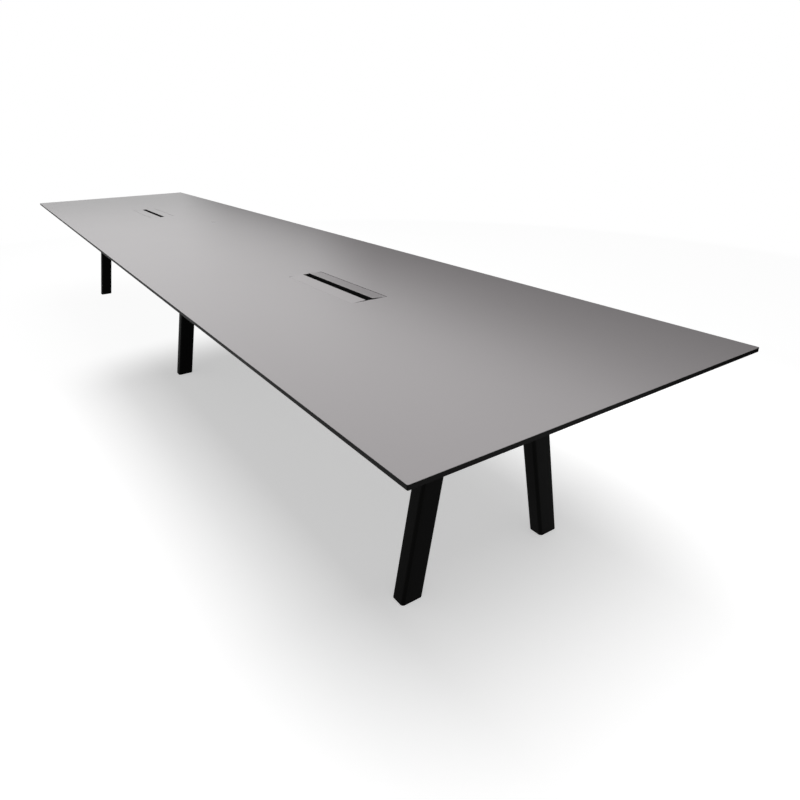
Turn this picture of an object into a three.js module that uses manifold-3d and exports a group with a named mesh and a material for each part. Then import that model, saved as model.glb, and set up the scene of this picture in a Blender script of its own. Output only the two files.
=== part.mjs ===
// A long conference table: a thin black-cored board with two flap-covered cable ports,
// on a steel frame with three pairs of leaning legs.
// Millimetres, +Z up. The origin is on the floor under the middle of the top.
// +X points to the near end of the table and +Y to its right-hand long edge.
import * as THREE from 'three';
import { mergeVertices } from 'three/addons/utils/BufferGeometryUtils.js';
import Module from 'manifold-3d';

const wasm = await Module();
wasm.setup();

// Table top
const topLength = 5400;
const topWidth = 1200;
const tableHeight = 745;
const coreThickness = 12;
const faceThickness = 1;
const glueLine = 0.05;
const topCornerRadius = 3;

// Cable ports and their flaps
const portToLegs = 900;
const flapLength = 510;
const flapWidth = 61.5;
const flapGap = 2;
const flapCornerRadius = 2;
const portCornerRadius = 3;
const slotWidth = 28;
const leftAjarAngle = 2.5;
const rightAjarAngle = 5;

// Pivot pins of the flaps
const pivotInset = 14;
const pinDiameter = 5;
const pinInFlap = 20;
const pinInTop = 8;
const runningGap = 0.3;

// Cable trays
const trayMargin = 5;
const trayDepth = 90;
const trayWall = 2;
const trayFlange = 20;
const trayCornerRadius = 4;
const ledgeReach = 16;
const ledgeClearance = 4;
const exitLength = 120;
const exitWidth = 60;
const exitCornerRadius = 8;

// Legs
const legInset = 435;
const footSpread = 592;
const legLean = 11;
const legDepth = 78;
const legWidth = 56;
const legWall = 3;
const legCornerRadius = 11;
const headPlateThickness = 6;
const headPlateMargin = 45;

// Foot caps and levelling glides
const footLift = 1;
const capBase = 4;
const capPlug = 24;
const padDiameter = 34;
const padThickness = 6;
const padChamfer = 1.5;
const studDiameter = 10;
const studLength = 40;

// Frame under the top
const beamWidth = 80;
const beamDepth = 60;
const beamWall = 3;
const beamInset = 100;
const tubeCornerRadius = 4;
const railWidth = 30;
const railStep = 10;
const railWall = 2.5;
const railToTray = 40;
const endRailInset = 140;
const endPlateThickness = 6;
const endPlateMargin = 30;
const armsPerRail = 2;
const armInset = 100;
const armPlate = 6;
const armFlangeWidth = 50;
const armRootWidth = 60;
const armTipDepth = 18;
const lugReach = 30;
const lugWidth = 36;
const lugThickness = 4;
const lugInset = 120;
const ventDiameter = 10;
const ventInset = 40;

// Levels and places that follow from the sizes above
const coreTop = tableHeight - faceThickness;
const underside = coreTop - coreThickness;
const portLength = flapLength + 2 * flapGap;
const portWidth = slotWidth + 2 * (flapWidth + flapGap);
const pivotY = slotWidth / 2 + flapWidth - pivotInset;
const pivotZ = underside + coreThickness / 2;
const legX = topLength / 2 - legInset;
const portX = legX - portToLegs;
const beamBottom = underside - beamDepth;
const beamLength = topWidth - 2 * beamInset;
const railDepth = beamDepth - railStep;
const railBottom = underside - railDepth;
const trayInnerLength = portLength + 2 * trayMargin;
const trayInnerWidth = portWidth + 2 * trayMargin;
const railY = trayInnerWidth / 2 + trayWall + trayFlange + railToTray + railWidth / 2;
const capTop = footLift + capBase;
const leanSlope = Math.tan(THREE.MathUtils.degToRad(legLean));

// How finely round forms are cut into flats
const cornerSteps = 2;
const legCornerSteps = 3;
const hollowSteps = 1;
const boreSides = 12;
const ventSides = 8;
const padSides = 20;

// How far a cutting body runs past what it cuts
const cutPast = 1;

const ends = [{ name: 'near', sign: 1 }, { name: 'far', sign: -1 }];
const sides = [{ name: 'left', sign: -1 }, { name: 'right', sign: 1 }];
const legRows = [{ name: 'near', x: legX }, { name: 'middle', x: 0 }, { name: 'far', x: -legX }];

const finishes = {
  decorFace: { color: 0x9c9a9b, roughness: 0.55, metalness: 0 },
  blackCore: { color: 0x121213, roughness: 0.6, metalness: 0 },
  powderCoat: { color: 0x151514, roughness: 0.5, metalness: 0.1 },
  blackPlastic: { color: 0x0d0d0d, roughness: 0.65, metalness: 0 },
  pinSteel: { color: 0x8d9094, roughness: 0.35, metalness: 1 },
};

// Makes a named piece of the table in one of the finishes.
function piece(name, geometry, finish) {
  const mesh = new THREE.Mesh(geometry, new THREE.MeshStandardMaterial(finishes[finish]));
  mesh.name = name;
  return mesh;
}

// Turns a closed three.js geometry into a solid that can be joined and cut.
function solidOf(geometry) {
  const bare = geometry.clone();
  bare.deleteAttribute('normal');
  bare.deleteAttribute('uv');
  const merged = mergeVertices(bare, 1e-4);
  const vertProperties = new Float32Array(merged.attributes.position.array);
  const triVerts = new Uint32Array(merged.index.array);
  return new wasm.Manifold(new wasm.Mesh({ numProp: 3, vertProperties, triVerts }));
}

// Turns a solid back into a three.js geometry.
function geometryOf(solid) {
  const mesh = solid.getMesh();
  const geometry = new THREE.BufferGeometry();
  geometry.setAttribute('position', new THREE.BufferAttribute(mesh.vertProperties, 3));
  geometry.setIndex(new THREE.BufferAttribute(mesh.triVerts, 1));
  geometry.computeVertexNormals();
  return geometry;
}

// Joins solids to the first one, one after the other.
function joined(first, others) {
  return others.reduce((whole, other) => whole.add(other), first);
}

// Cuts solids out of the first one, one after the other.
function cut(first, others) {
  return others.reduce((whole, other) => whole.subtract(other), first);
}

// A rectangle with round corners, about a centre.
function roundedRectangle(width, height, radius, centreX = 0, centreY = 0) {
  const right = centreX + width / 2 - radius;
  const left = centreX - width / 2 + radius;
  const high = centreY + height / 2 - radius;
  const low = centreY - height / 2 + radius;
  const shape = new THREE.Shape();
  shape.absarc(right, low, radius, -Math.PI / 2, 0, false);
  shape.absarc(right, high, radius, 0, Math.PI / 2, false);
  shape.absarc(left, high, radius, Math.PI / 2, Math.PI, false);
  shape.absarc(left, low, radius, Math.PI, Math.PI * 1.5, false);
  shape.closePath();
  return shape;
}

// An upright prism on an outline, from one level to another.
function upright(shape, bottom, top, steps = cornerSteps) {
  const settings = { depth: top - bottom, bevelEnabled: false, curveSegments: steps };
  return new THREE.ExtrudeGeometry(shape, settings).translate(0, 0, bottom);
}

// A plain block between two corners.
function block(low, high) {
  const size = high.map((value, i) => value - low[i]);
  const middle = high.map((value, i) => (value + low[i]) / 2);
  return new THREE.BoxGeometry(...size).translate(...middle);
}

// A round bar along X.
function barAlongX(radius, from, to, y, z) {
  const bar = new THREE.CylinderGeometry(radius, radius, Math.abs(to - from), boreSides);
  return bar.rotateZ(Math.PI / 2).translate((from + to) / 2, y, z);
}

// A round bar along Z.
function barAlongZ(radius, bottom, top, x, y, barSides = boreSides) {
  const bar = new THREE.CylinderGeometry(radius, radius, top - bottom, barSides);
  return bar.rotateX(Math.PI / 2).translate(x, y, (bottom + top) / 2);
}

// Leans an upright prism of a leg in towards the middle of the table as it rises.
function leaned(geometry, side) {
  const lean = new THREE.Matrix4().makeShear(0, 0, 0, 0, 0, -side * leanSlope);
  return geometry.applyMatrix4(lean).translate(0, side * footSpread / 2, 0);
}

// How far from the table's long centre line a leg's middle is at a level.
function legY(level) {
  return footSpread / 2 - leanSlope * level;
}

// The outline of the board with the two ports cut through it.
function boardShape() {
  const shape = roundedRectangle(topLength, topWidth, topCornerRadius);
  for (const end of ends) {
    shape.holes.push(roundedRectangle(portLength, portWidth, portCornerRadius, end.sign * portX));
  }
  return shape;
}

// The black core of the top, with blind holes for the flaps' pivot pins.
function topCore() {
  const radius = pinDiameter / 2 + runningGap;
  const holes = [];
  for (const end of ends) {
    for (const side of sides) {
      for (const tip of ends) {
        const mouth = end.sign * portX + tip.sign * (portLength / 2 - cutPast);
        const depth = tip.sign * (cutPast + pinInTop + runningGap);
        holes.push(solidOf(barAlongX(radius, mouth, mouth + depth, side.sign * pivotY, pivotZ)));
      }
    }
  }
  return geometryOf(cut(solidOf(upright(boardShape(), underside, coreTop)), holes));
}

// The flap's outline about its pivot axis, with its free edge towards the slot.
function flapShape(side) {
  const middle = side * (pivotInset - flapWidth / 2);
  return roundedRectangle(flapLength, flapWidth, flapCornerRadius, 0, middle);
}

// The black core of a flap, with a bore for a pin in each end.
function flapCore(side) {
  const radius = pinDiameter / 2 + runningGap;
  const bores = ends.map((tip) => {
    const bottom = tip.sign * (flapLength / 2 - pinInFlap - runningGap);
    const mouth = tip.sign * (flapLength / 2 + cutPast);
    return solidOf(barAlongX(radius, bottom, mouth, 0, 0));
  });
  const board = solidOf(upright(flapShape(side), -coreThickness / 2, coreThickness / 2));
  return geometryOf(cut(board, bores));
}

// One flap with its pins, in a group that turns about the pivot axis.
function flap(end, side, openAngle) {
  const group = new THREE.Group();
  const name = `${end.name}_${side.name}_flap`;
  const faceBottom = coreThickness / 2 + glueLine;
  const faceTop = coreThickness / 2 + faceThickness;
  group.add(piece(`${name}_core`, flapCore(side.sign), 'blackCore'));
  group.add(piece(`${name}_face`, upright(flapShape(side.sign), faceBottom, faceTop), 'decorFace'));
  for (const tip of ends) {
    const inner = tip.sign * (flapLength / 2 - pinInFlap);
    const outer = tip.sign * (portLength / 2 + pinInTop);
    group.add(piece(`${name}_${tip.name}_pin`, barAlongX(pinDiameter / 2, inner, outer, 0, 0), 'pinSteel'));
  }
  group.position.set(end.sign * portX, side.sign * pivotY, pivotZ);
  group.rotation.x = -side.sign * THREE.MathUtils.degToRad(openAngle);
  return group;
}

// A folded steel tray under a port: an open box with a flange, flap ledges and a cable exit.
function cableTray() {
  const floor = underside - trayDepth;
  const outerLength = trayInnerLength + 2 * trayWall;
  const outerWidth = trayInnerWidth + 2 * trayWall;
  const innerRadius = Math.max(trayCornerRadius - trayWall, trayCornerRadius / 2);
  const outer = roundedRectangle(outerLength, outerWidth, trayCornerRadius);
  const inner = roundedRectangle(trayInnerLength, trayInnerWidth, innerRadius);
  const rim = roundedRectangle(outerLength + 2 * trayFlange, outerWidth + 2 * trayFlange, trayCornerRadius);
  const exit = roundedRectangle(exitLength, exitWidth, exitCornerRadius);
  const shell = solidOf(upright(outer, floor - trayWall, underside))
    .add(solidOf(upright(rim, underside - trayWall, underside)))
    .subtract(solidOf(upright(inner, floor, underside + cutPast, hollowSteps)))
    .subtract(solidOf(upright(exit, floor - trayWall - cutPast, floor + cutPast)));
  const flapSweep = Math.hypot(pivotInset, coreThickness / 2 + faceThickness);
  const ledgeInner = slotWidth / 2 + ledgeClearance;
  const ledgeOuter = pivotY - flapSweep - ledgeClearance / 2;
  const ledgeTop = underside - runningGap;
  const ledges = [];
  for (const tip of ends) {
    for (const side of sides) {
      const root = tip.sign * (trayInnerLength / 2 + trayWall / 2);
      const nose = tip.sign * (trayInnerLength / 2 - ledgeReach);
      const low = [Math.min(root, nose), Math.min(side.sign * ledgeInner, side.sign * ledgeOuter)];
      const high = [Math.max(root, nose), Math.max(side.sign * ledgeInner, side.sign * ledgeOuter)];
      ledges.push(solidOf(block([...low, ledgeTop - trayWall], [...high, ledgeTop])));
    }
  }
  return geometryOf(joined(shell, ledges));
}

// A leg: a leaning tube with level ends, and the head plate welded on it.
function leg(side) {
  const plateBottom = beamBottom - headPlateThickness;
  const innerRadius = Math.max(legCornerRadius - legWall, legCornerRadius / 2);
  const outer = roundedRectangle(legWidth, legDepth, legCornerRadius);
  const inner = roundedRectangle(legWidth - 2 * legWall, legDepth - 2 * legWall, innerRadius);
  const plateMiddle = side * legY(plateBottom);
  const plateLength = legDepth + 2 * headPlateMargin;
  const plate = roundedRectangle(beamWidth, plateLength, tubeCornerRadius, 0, plateMiddle);
  const tube = solidOf(leaned(upright(outer, capTop, beamBottom, legCornerSteps), side))
    .subtract(solidOf(leaned(upright(inner, capTop - cutPast, plateBottom, hollowSteps), side)));
  return geometryOf(tube.add(solidOf(upright(plate, plateBottom, beamBottom))));
}

// A foot cap: a base under the tube's end, a plug inside it and the bore for the glide.
function footCap(side) {
  const innerRadius = Math.max(legCornerRadius - legWall, legCornerRadius / 2) - runningGap;
  const plugWidth = legWidth - 2 * (legWall + runningGap);
  const plugDepth = legDepth - 2 * (legWall + runningGap);
  const base = roundedRectangle(legWidth, legDepth, legCornerRadius);
  const plug = roundedRectangle(plugWidth, plugDepth, innerRadius);
  const plugTop = capTop + capPlug;
  const glideY = side * legY(capTop);
  const boreRadius = studDiameter / 2 + runningGap;
  const recessRadius = padDiameter / 2 + runningGap;
  const recessTop = padThickness + runningGap;
  const cap = solidOf(leaned(upright(base, footLift, capTop, legCornerSteps), side))
    .add(solidOf(leaned(upright(plug, footLift + capBase / 2, plugTop, hollowSteps), side)));
  const bore = solidOf(barAlongZ(boreRadius, 0, plugTop + cutPast, 0, glideY));
  const recess = solidOf(barAlongZ(recessRadius, 0, recessTop, 0, glideY, padSides));
  return geometryOf(cut(cap, [bore, recess]));
}

// A levelling glide: a round pad with a threaded stud, turned about its own axis.
function glide(side) {
  const pad = padDiameter / 2;
  const stud = studDiameter / 2;
  const profile = [
    new THREE.Vector2(0, 0),
    new THREE.Vector2(pad - padChamfer, 0),
    new THREE.Vector2(pad, padChamfer),
    new THREE.Vector2(pad, padThickness),
    new THREE.Vector2(stud, padThickness),
    new THREE.Vector2(stud, padThickness + studLength),
    new THREE.Vector2(0, padThickness + studLength),
  ];
  const turned = new THREE.LatheGeometry(profile, padSides).rotateX(Math.PI / 2);
  return geometryOf(solidOf(turned.translate(0, side * legY(capTop), 0)));
}

// A closed rectangular tube along X with weld vents in its floor, hung from the underside.
function closedTube(length, width, depth, wall) {
  const innerRadius = Math.max(tubeCornerRadius - wall, tubeCornerRadius / 4);
  const lie = (shape, reach, steps) => upright(shape, -reach, reach, steps)
    .rotateX(Math.PI / 2).rotateZ(Math.PI / 2).translate(0, 0, underside - depth / 2);
  const outer = lie(roundedRectangle(width, depth, tubeCornerRadius), length / 2, cornerSteps);
  const hollow = roundedRectangle(width - 2 * wall, depth - 2 * wall, innerRadius);
  const inner = lie(hollow, length / 2 - wall, hollowSteps);
  const floor = underside - depth;
  const vents = ends.map((end) => {
    const x = end.sign * (length / 2 - ventInset);
    return solidOf(barAlongZ(ventDiameter / 2, floor - cutPast, floor + wall + cutPast, x, 0, ventSides));
  });
  return cut(solidOf(outer), [solidOf(inner), ...vents]);
}

// A lug on the side of a tube that lies along X, to take a screw into the top.
function lug(x, tubeWidth, side) {
  const root = side * (tubeWidth / 2 - tubeCornerRadius);
  const nose = side * (tubeWidth / 2 + lugReach);
  const low = [x - lugWidth / 2, Math.min(root, nose), underside - lugThickness];
  const high = [x + lugWidth / 2, Math.max(root, nose), underside];
  return solidOf(block(low, high));
}

// A cross-beam over a pair of legs, with screw lugs near its ends.
function crossBeam() {
  const lugs = [];
  for (const end of ends) {
    for (const side of sides) {
      lugs.push(lug(end.sign * (beamLength / 2 - lugInset), beamWidth, side.sign));
    }
  }
  const beam = joined(closedTube(beamLength, beamWidth, beamDepth, beamWall), lugs);
  return geometryOf(beam).rotateZ(Math.PI / 2);
}

// The plate at a rail's end that is bolted to a cross-beam's side.
function endPlate(x) {
  const half = railWidth / 2 + endPlateMargin;
  const low = [x - endPlateThickness / 2, -half, railBottom];
  const high = [x + endPlateThickness / 2, half, underside];
  return solidOf(block(low, high));
}

// A long rail between two cross-beams, with lugs on its outer side between the arms.
function longRail(side) {
  const length = legX - beamWidth;
  const plateX = length / 2 - endPlateThickness / 2;
  const bays = armsPerRail + 1;
  const lugs = [];
  for (let bay = 0; bay < bays; bay += 1) {
    lugs.push(lug(legX * ((bay + 0.5) / bays - 0.5), railWidth, side));
  }
  const tube = closedTube(length, railWidth, railDepth, railWall);
  return geometryOf(joined(tube, [endPlate(plateX), endPlate(-plateX), ...lugs]));
}

// The length of the rails that reach from the outer cross-beams towards the table's ends.
function endRailLength() {
  return legInset - beamWidth / 2 - endRailInset;
}

// A short rail towards an end of the table, with one plate and one lug.
function endRail(end, side) {
  const length = endRailLength();
  const tube = closedTube(length, railWidth, railDepth, railWall);
  const plate = endPlate(-end * (length / 2 - endPlateThickness / 2));
  return geometryOf(joined(tube, [plate, lug(end * (length / 2 - lugWidth), railWidth, side)]));
}

// A tapered arm from a rail's outer side towards the long edge, welded from plate.
function arm(side) {
  const length = topWidth / 2 - armInset - railY - railWidth / 2;
  const web = new THREE.Shape();
  web.moveTo(0, -railDepth);
  web.lineTo(length, -armTipDepth);
  web.lineTo(length, 0);
  web.lineTo(0, 0);
  web.closePath();
  const webPlate = upright(web, -armPlate / 2, armPlate / 2).rotateX(Math.PI / 2).rotateZ(Math.PI / 2);
  const flange = block([-armFlangeWidth / 2, 0, -armPlate], [armFlangeWidth / 2, length, 0]);
  const root = block([-armRootWidth / 2, 0, -railDepth], [armRootWidth / 2, armPlate, 0]);
  const whole = geometryOf(joined(solidOf(webPlate), [solidOf(flange), solidOf(root)]));
  return side > 0 ? whole : whole.rotateZ(Math.PI);
}

// The board and its decor face.
function tableTop() {
  const group = new THREE.Group();
  group.add(piece('top_core', topCore(), 'blackCore'));
  group.add(piece('top_face', upright(boardShape(), coreTop + glueLine, tableHeight), 'decorFace'));
  return group;
}

// The two ports, each with its pair of flaps and its tray. The near port's flaps stand ajar.
function cablePorts() {
  const group = new THREE.Group();
  for (const end of ends) {
    for (const side of sides) {
      const openAngle = side.sign < 0 ? leftAjarAngle : rightAjarAngle;
      group.add(flap(end, side, end.name === 'near' ? openAngle : 0));
    }
    const tray = piece(`${end.name}_cable_tray`, cableTray(), 'powderCoat');
    tray.position.x = end.sign * portX;
    group.add(tray);
  }
  return group;
}

// The three pairs of legs with their caps and glides.
function legPairs() {
  const group = new THREE.Group();
  for (const row of legRows) {
    for (const side of sides) {
      const place = new THREE.Group();
      const name = `${row.name}_${side.name}`;
      place.add(piece(`${name}_leg`, leg(side.sign), 'powderCoat'));
      place.add(piece(`${name}_foot_cap`, footCap(side.sign), 'blackPlastic'));
      place.add(piece(`${name}_glide`, glide(side.sign), 'blackPlastic'));
      place.position.x = row.x;
      group.add(place);
    }
  }
  return group;
}

// The frame under the top: cross-beams, rails and arms.
function underFrame() {
  const group = new THREE.Group();
  for (const row of legRows) {
    const beam = piece(`${row.name}_cross_beam`, crossBeam(), 'powderCoat');
    beam.position.x = row.x;
    group.add(beam);
  }
  for (const end of ends) {
    for (const side of sides) {
      const name = `${end.name}_${side.name}`;
      const rail = piece(`${name}_rail`, longRail(side.sign), 'powderCoat');
      rail.position.set(end.sign * legX / 2, side.sign * railY, 0);
      group.add(rail);
      const stub = piece(`${name}_end_rail`, endRail(end.sign, side.sign), 'powderCoat');
      const stubX = legX + (beamWidth + endRailLength()) / 2;
      stub.position.set(end.sign * stubX, side.sign * railY, 0);
      group.add(stub);
      for (let bay = 1; bay <= armsPerRail; bay += 1) {
        const outrigger = piece(`${name}_arm_${bay}`, arm(side.sign), 'powderCoat');
        const armX = legX * bay / (armsPerRail + 1);
        outrigger.position.set(end.sign * armX, side.sign * (railY + railWidth / 2), underside);
        group.add(outrigger);
      }
    }
  }
  return group;
}

const conferenceTable = new THREE.Group();
conferenceTable.add(tableTop(), cablePorts(), legPairs(), underFrame());

export default conferenceTable;
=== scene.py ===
"""Looks of a long conference table: a thin grey board with a black core on a black steel frame.

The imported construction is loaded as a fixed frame. Each of its solids keeps its place, has its sharp
edges eased and gets a finish. Bolts, screws, weld beads and threaded glides are modelled here.
Metres, +Z up. +X points to the near end of the table and +Y to its right-hand long edge.
"""

import logging
import math
from dataclasses import dataclass, field
from enum import Enum
from typing import Callable, ClassVar, Sequence, Union

import bmesh
import bpy
from mathutils import Matrix, Vector


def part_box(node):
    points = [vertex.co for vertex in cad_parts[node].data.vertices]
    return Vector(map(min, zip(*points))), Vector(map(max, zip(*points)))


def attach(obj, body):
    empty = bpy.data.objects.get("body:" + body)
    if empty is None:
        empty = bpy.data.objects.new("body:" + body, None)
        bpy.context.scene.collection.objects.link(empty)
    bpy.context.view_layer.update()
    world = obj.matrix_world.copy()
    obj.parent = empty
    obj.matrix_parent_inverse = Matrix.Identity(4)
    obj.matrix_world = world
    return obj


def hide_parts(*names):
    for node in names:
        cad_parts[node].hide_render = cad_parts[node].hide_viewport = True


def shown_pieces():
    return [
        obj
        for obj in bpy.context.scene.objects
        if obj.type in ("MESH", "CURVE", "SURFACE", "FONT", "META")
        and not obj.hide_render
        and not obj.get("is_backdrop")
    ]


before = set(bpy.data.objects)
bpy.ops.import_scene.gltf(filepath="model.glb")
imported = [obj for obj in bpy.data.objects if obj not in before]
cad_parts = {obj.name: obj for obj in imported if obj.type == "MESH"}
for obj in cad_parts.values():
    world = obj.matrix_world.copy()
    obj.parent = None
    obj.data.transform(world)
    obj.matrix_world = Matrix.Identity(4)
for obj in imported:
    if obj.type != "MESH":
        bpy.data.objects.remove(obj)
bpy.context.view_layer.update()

LOG = logging.getLogger("conference_table")
TABLE_BODY = "table"

Colour = tuple[float, float, float]
Feed = Union[bpy.types.NodeSocket, float, Sequence[float]]


class Slot(Enum):
    """The material slots that the record names."""

    DECOR_FACE = "decor_face"
    BLACK_CORE = "black_core"
    POWDER_COAT = "powder_coat"
    BLACK_PLASTIC = "black_plastic"
    PIN_STEEL = "pin_steel"


class Side(Enum):
    """The two long sides of the table, by the sign of Y."""

    LEFT = -1
    RIGHT = 1


class End(Enum):
    """The two ends of the table, by the sign of X."""

    FAR = -1
    NEAR = 1


class Lit(Enum):
    """What a lamp lights: the table, or the floor that takes its shadow."""

    TABLE = "lit_table"
    FLOOR = "lit_floor"


class Row(Enum):
    """The three pairs of legs, by the sign of X."""

    FAR = -1
    MIDDLE = 0
    NEAR = 1


def word(choice: Enum) -> str:
    """Turns a side, an end or a row into the word that node names use.

    Args:
        choice: the side, the end or the row.

    Returns:
        The word.
    """
    return choice.name.lower()


class Bench:
    """Lays and wires the nodes of one node tree."""

    def __init__(self, tree: bpy.types.NodeTree) -> None:
        """Starts on a tree, which may hold nodes already.

        Args:
            tree: the tree.
        """
        self.tree = tree

    def lay(self, kind: str, **settings: object) -> bpy.types.Node:
        """Adds a node.

        Args:
            kind: Blender's name for the node.
            settings: properties of the node, by name.

        Returns:
            The new node.
        """
        node = self.tree.nodes.new(kind)
        for name, value in settings.items():
            setattr(node, name, value)
        return node

    def feed(self, socket: bpy.types.NodeSocket, value: Feed) -> None:
        """Wires another node's socket to an input, or sets a plain value on it.

        Args:
            socket: the input.
            value: what it gets.
        """
        if isinstance(value, bpy.types.NodeSocket):
            self.tree.links.new(value, socket)
        else:
            socket.default_value = value

    def sum(self, operation: str, first: Feed, second: Feed = 0.0,
            clamp: bool = False) -> bpy.types.NodeSocket:
        """Works out a number from one or two others.

        Args:
            operation: Blender's name for the operation.
            first: the first number.
            second: the second number.
            clamp: whether the result is held between 0 and 1.

        Returns:
            The socket that gives the result.
        """
        node = self.lay("ShaderNodeMath", operation=operation, use_clamp=clamp)
        self.feed(node.inputs[0], first)
        self.feed(node.inputs[1], second)
        return node.outputs[0]

    def span(self, value: Feed, source: Sequence[Feed], target: Sequence[Feed],
             easing: str = "LINEAR") -> bpy.types.NodeSocket:
        """Carries a number from one range to another.

        Args:
            value: the number.
            source: the low and high end of the range that it comes from.
            target: the low and high end of the range that it goes to.
            easing: Blender's name for the way between the ends.

        Returns:
            The socket that gives the result.
        """
        node = self.lay("ShaderNodeMapRange", interpolation_type=easing)
        for socket, number in zip(node.inputs, (value, *source, *target)):
            self.feed(socket, number)
        return node.outputs[0]

    def blend(self, share: Feed, first: Feed, second: Feed) -> bpy.types.NodeSocket:
        """Goes from one colour to another.

        Args:
            share: how much of the second colour shows.
            first: the first colour.
            second: the second colour.

        Returns:
            The socket that gives the colour.
        """
        node = self.lay("ShaderNodeMix", data_type="RGBA")
        share_input, first_input, second_input = (node.inputs[index] for index in (0, 6, 7))
        self.feed(share_input, share)
        self.feed(first_input, first)
        self.feed(second_input, second)
        return node.outputs[2]

    def vector(self, operation: str, first: Feed, second: Feed) -> bpy.types.Node:
        """Lays a vector sum.

        Args:
            operation: Blender's name for the operation.
            first: the first vector.
            second: the second vector, or the factor of a scaling.

        Returns:
            The node, whose output depends on the operation.
        """
        node = self.lay("ShaderNodeVectorMath", operation=operation)
        self.feed(node.inputs[0], first)
        self.feed(node.inputs["Scale"] if operation == "SCALE" else node.inputs[1], second)
        return node

    def place(self) -> bpy.types.NodeSocket:
        """Reads the point of the surface, in metres, in the frame of the part at rest.

        Returns:
            The socket that gives the point.
        """
        return self.lay("ShaderNodeTexCoord").outputs["Object"]

    def noise(self, place: Feed, scale: Feed, detail: float = 2.0) -> bpy.types.NodeSocket:
        """Lays a cloudy noise.

        Args:
            place: where the noise is read.
            scale: how many clouds there are to a metre.
            detail: how many finer layers lie on it.

        Returns:
            The socket that gives a number about one half.
        """
        node = self.lay("ShaderNodeTexNoise")
        self.feed(node.inputs["Vector"], place)
        self.feed(node.inputs["Scale"], scale)
        self.feed(node.inputs["Detail"], detail)
        return node.outputs[0]


def opaque(colour: Colour) -> tuple[float, float, float, float]:
    """Adds the fourth number that a colour socket takes.

    Args:
        colour: the colour.

    Returns:
        The colour with its full cover.
    """
    return (*colour, 1.0)


@dataclass(frozen=True)
class Port:
    """A named socket of a shared effect."""

    name: str
    kind: str = "NodeSocketFloat"


class Effect:
    """A surface effect that several finishes share, kept once as a node group."""

    name: ClassVar[str]
    inputs: ClassVar[tuple[Port, ...]]
    outputs: ClassVar[tuple[Port, ...]]

    @classmethod
    def wire_up(cls, bench: Bench, inputs: bpy.types.NodeOutputs, outputs: bpy.types.NodeInputs) -> None:
        """Lays the nodes between the group's inputs and its outputs.

        Args:
            bench: the group's own bench.
            inputs: the sockets that bring the values in.
            outputs: the sockets that take the results out.
        """
        raise NotImplementedError

    @classmethod
    def tree(cls) -> bpy.types.NodeTree:
        """Finds the effect's node group, and builds it the first time.

        Returns:
            The node group.
        """
        found = bpy.data.node_groups.get(cls.name)
        if found is not None:
            return found
        tree = bpy.data.node_groups.new(cls.name, "ShaderNodeTree")
        for port in cls.inputs:
            tree.interface.new_socket(port.name, in_out="INPUT", socket_type=port.kind)
        for port in cls.outputs:
            tree.interface.new_socket(port.name, in_out="OUTPUT", socket_type=port.kind)
        bench = Bench(tree)
        cls.wire_up(bench, bench.lay("NodeGroupInput").outputs, bench.lay("NodeGroupOutput").inputs)
        return tree

    @classmethod
    def put(cls, bench: Bench, *values: Feed) -> bpy.types.NodeOutputs:
        """Places the effect in a finish.

        Args:
            bench: the finish's bench.
            values: what the effect's inputs get, in their order.

        Returns:
            The sockets of the effect's results, by name.
        """
        node = bench.lay("ShaderNodeGroup", node_tree=cls.tree())
        for socket, value in zip(node.inputs, values):
            bench.feed(socket, value)
        return node.outputs


class SurfaceDrift(Effect):
    """Slow changes of tone and gloss, as a wiped and handled surface has."""

    name = "surface_drift"
    inputs = (
        Port("Colour", "NodeSocketColor"), Port("Colour amount"), Port("Colour scale"),
        Port("Roughness"), Port("Roughness amount"), Port("Roughness scale"),
    )
    outputs = (Port("Colour", "NodeSocketColor"), Port("Roughness"))
    noise_range: ClassVar[tuple[float, float]] = (0.0, 1.0)

    @classmethod
    def wire_up(cls, bench: Bench, inputs: bpy.types.NodeOutputs, outputs: bpy.types.NodeInputs) -> None:
        """Multiplies the colour and shifts the roughness by two slow noises.

        Args:
            bench: the group's own bench.
            inputs: the sockets that bring the values in.
            outputs: the sockets that take the results out.
        """
        place = bench.place()
        tone = bench.noise(place, inputs["Colour scale"], 3.0)
        darker = bench.sum("SUBTRACT", 1.0, inputs["Colour amount"])
        lighter = bench.sum("ADD", 1.0, inputs["Colour amount"])
        factor = bench.span(tone, cls.noise_range, (darker, lighter))
        bench.feed(outputs["Colour"], bench.vector("SCALE", inputs["Colour"], factor).outputs[0])
        gloss = bench.noise(place, inputs["Roughness scale"], 4.0)
        smoother = bench.sum("SUBTRACT", inputs["Roughness"], inputs["Roughness amount"])
        rougher = bench.sum("ADD", inputs["Roughness"], inputs["Roughness amount"])
        bench.feed(outputs["Roughness"], bench.span(gloss, cls.noise_range, (smoother, rougher)))


class FineTexture(Effect):
    """The small bumps of a pressed, sprayed or moulded surface."""

    name = "fine_texture"
    inputs = (Port("Stretch", "NodeSocketVector"), Port("Scale"))
    outputs = (Port("Height"),)

    @classmethod
    def wire_up(cls, bench: Bench, inputs: bpy.types.NodeOutputs, outputs: bpy.types.NodeInputs) -> None:
        """Reads a fine noise on a stretched place.

        Args:
            bench: the group's own bench.
            inputs: the sockets that bring the values in.
            outputs: the sockets that take the results out.
        """
        place = bench.vector("MULTIPLY", bench.place(), inputs["Stretch"]).outputs[0]
        bench.feed(outputs["Height"], bench.noise(place, inputs["Scale"], 3.0))


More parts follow.
